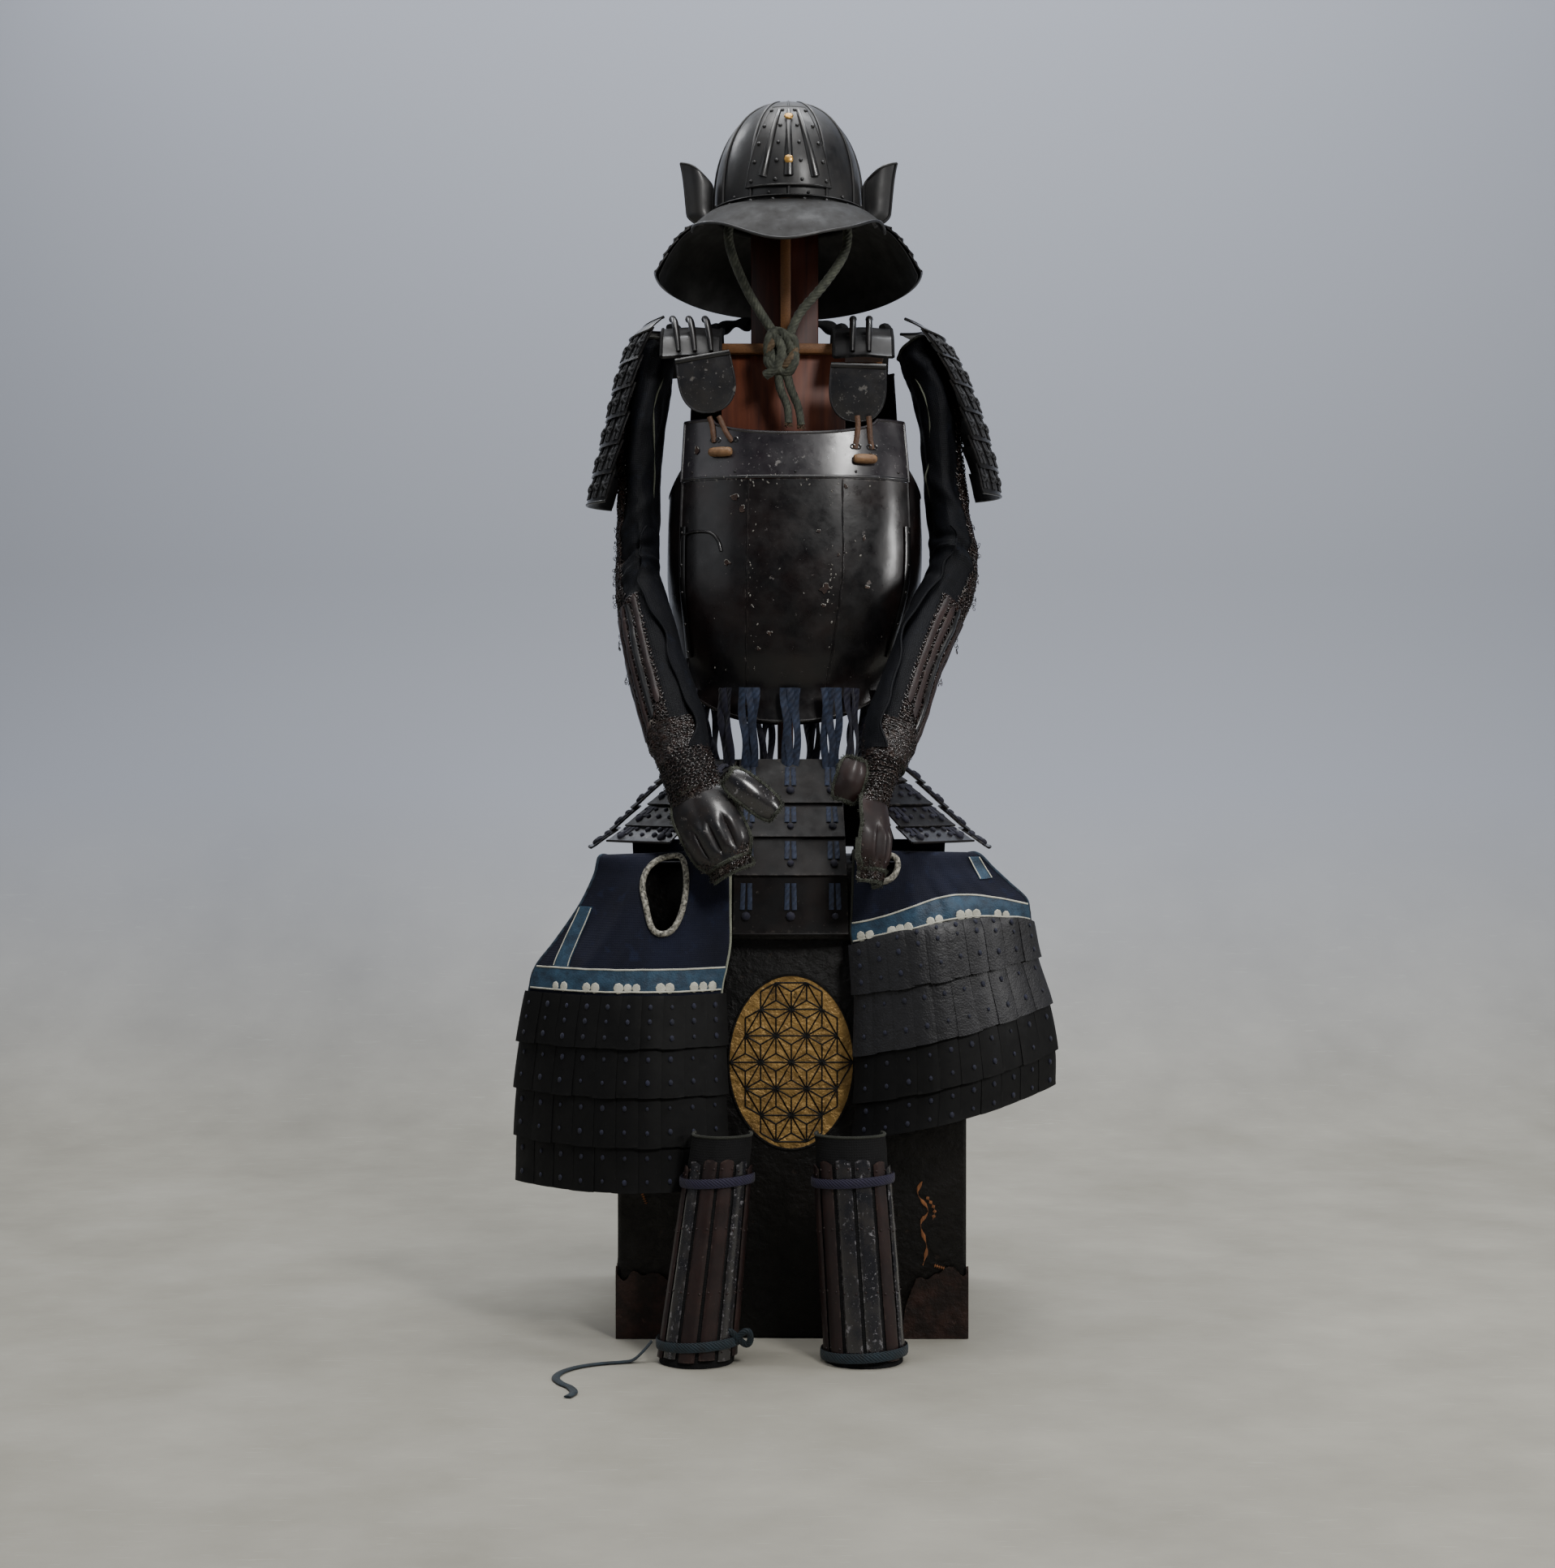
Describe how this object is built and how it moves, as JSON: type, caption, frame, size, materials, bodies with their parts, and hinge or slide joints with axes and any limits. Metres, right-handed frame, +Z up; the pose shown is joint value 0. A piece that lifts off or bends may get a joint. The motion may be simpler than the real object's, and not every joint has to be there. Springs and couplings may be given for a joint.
{
  "type": "samurai armour on a wooden stand and armour box",
  "caption": "Full samurai armour with helmet, cuirass, sleeves, tassets, thigh aprons and shin guards, set up as if seated on a wooden cross stand and lacquered box.",
  "frame": {"origin": "middle of the armour box's underside", "axes": "+Z up, -Y towards the viewer in front of the armour, +X to that viewer's right"},
  "size_m": [0.7209, 0.7053, 1.667],
  "materials": {
    "box_lacquer": "worn black-brown lacquer over wood",
    "stand_mahogany": "stained board, satin",
    "stand_plywood": "sawn birch plywood",
    "iron_black": "blackened iron, worn lacquer",
    "iron_lacquer": "black-brown lacquered iron, satin, chipped",
    "iron_brown": "rust-brown lacquered iron",
    "strap_leather": "undyed brown thong",
    "scale_leather": "black lacquered rawhide scales",
    "navy_cloth": "indigo hemp cloth with printed blue leather bands",
    "black_cloth": "dark indigo padded hemp",
    "hemp_cord": "twisted undyed hemp cord",
    "blue_tape": "woven indigo cotton tape"
  },
  "bodies": {
    "root": {"apron_cloth_left": "navy_cloth", "apron_cloth_right": "navy_cloth", "apron_row_1_left": "scale_leather", "apron_row_1_right": "scale_leather", "apron_row_2_left": "scale_leather", "apron_row_2_right": "scale_leather", "apron_row_3_left": "scale_leather", "apron_row_3_right": "scale_leather", "apron_row_4_left": "scale_leather", "apron_row_4_right": "scale_leather", "back_plate": "iron_lacquer", "box_body": "box_lacquer", "box_lid": "box_lacquer", "breast_plank_centre": "iron_lacquer", "breast_plank_left": "iron_lacquer", "breast_plank_right": "iron_lacquer", "breast_top": "iron_lacquer", "chin_cord_left": "hemp_cord", "chin_cord_right": "hemp_cord", "chin_knot": "hemp_cord", "forearm_splints_left": "iron_brown", "forearm_splints_right": "iron_brown", "hand_plate_left": "iron_brown", "hand_plate_right": "iron_brown", "helmet_bowl": "iron_black", "helmet_front_plate": "iron_black", "helmet_peak": "iron_black", "helmet_turnback_left": "iron_black", "helmet_turnback_right": "iron_black", "neck_guard": "iron_lacquer", "shin_cloth_left": "black_cloth", "shin_cloth_right": "black_cloth", "shin_splints_left": "iron_brown", "shin_splints_right": "iron_brown", "shin_tie_left": "blue_tape", "shoulder_guard_left": "iron_lacquer", "shoulder_guard_right": "iron_lacquer", "shoulder_strap_left": "iron_lacquer", "shoulder_strap_right": "iron_lacquer", "side_plate_left": "iron_lacquer", "side_plate_right": "iron_lacquer", "sleeve_cloth_left": "black_cloth", "sleeve_cloth_right": "black_cloth", "stand_chest_board": "stand_mahogany", "stand_post": "stand_mahogany", "stand_shelf": "stand_plywood", "strap_leaf_left": "iron_black", "strap_leaf_right": "iron_black", "strap_tie_left": "strap_leather", "strap_tie_right": "strap_leather", "tasset_back_left": "iron_lacquer", "tasset_back_right": "iron_lacquer", "tasset_front": "iron_lacquer", "tasset_front_left": "iron_lacquer", "tasset_front_right": "iron_lacquer", "tasset_side_left": "iron_lacquer", "tasset_side_right": "iron_lacquer", "thumb_plate_left": "iron_brown", "thumb_plate_right": "iron_brown"}
  },
  "joints": []
}
